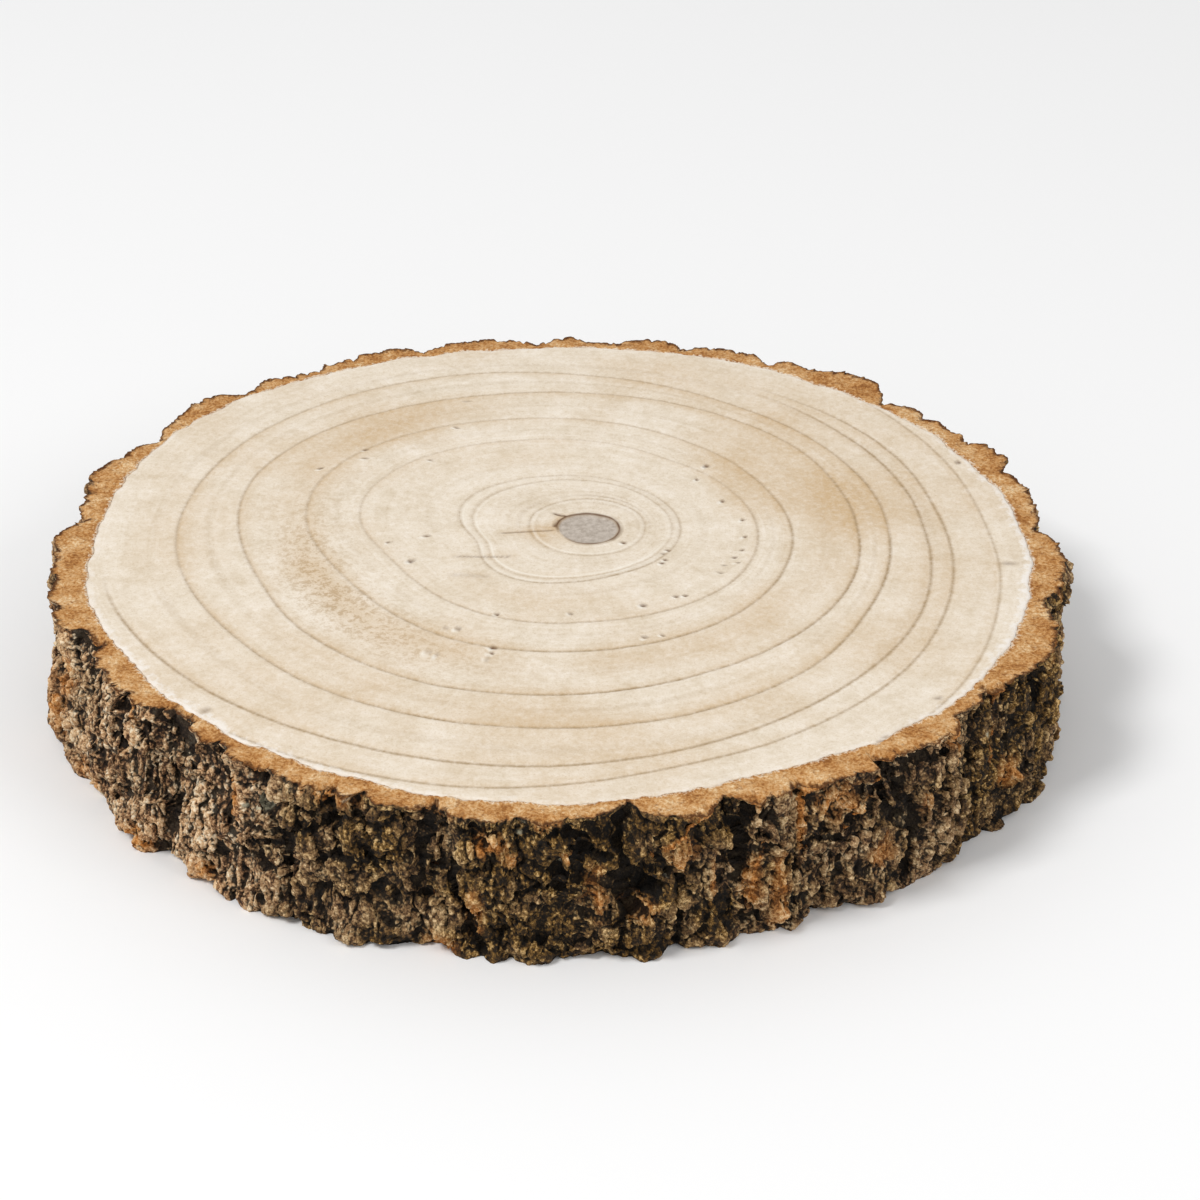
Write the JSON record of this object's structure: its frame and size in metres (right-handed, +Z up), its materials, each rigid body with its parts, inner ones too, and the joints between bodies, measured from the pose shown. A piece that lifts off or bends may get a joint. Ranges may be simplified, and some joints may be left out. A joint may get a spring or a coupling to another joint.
{
  "type": "wood slice",
  "caption": "Round slice sawn across a tree trunk, with pale ringed wood and its rough dark bark left on all round.",
  "frame": {"origin": "middle of the lower sawn face, under the middle of the slice's box", "axes": "+Z up, along the trunk, square to the sawn faces; +X along the slice's longer width; +Y away from the side that the picture shows in front"},
  "size_m": [0.2602, 0.2478, 0.04],
  "materials": {
    "wood": "sawn, pale and matt, with darker growth rings",
    "bark": "rough, corky and matt, with an orange-tan cut edge"
  },
  "bodies": {
    "root": {"wood": "wood", "bark": "bark"}
  },
  "joints": []
}
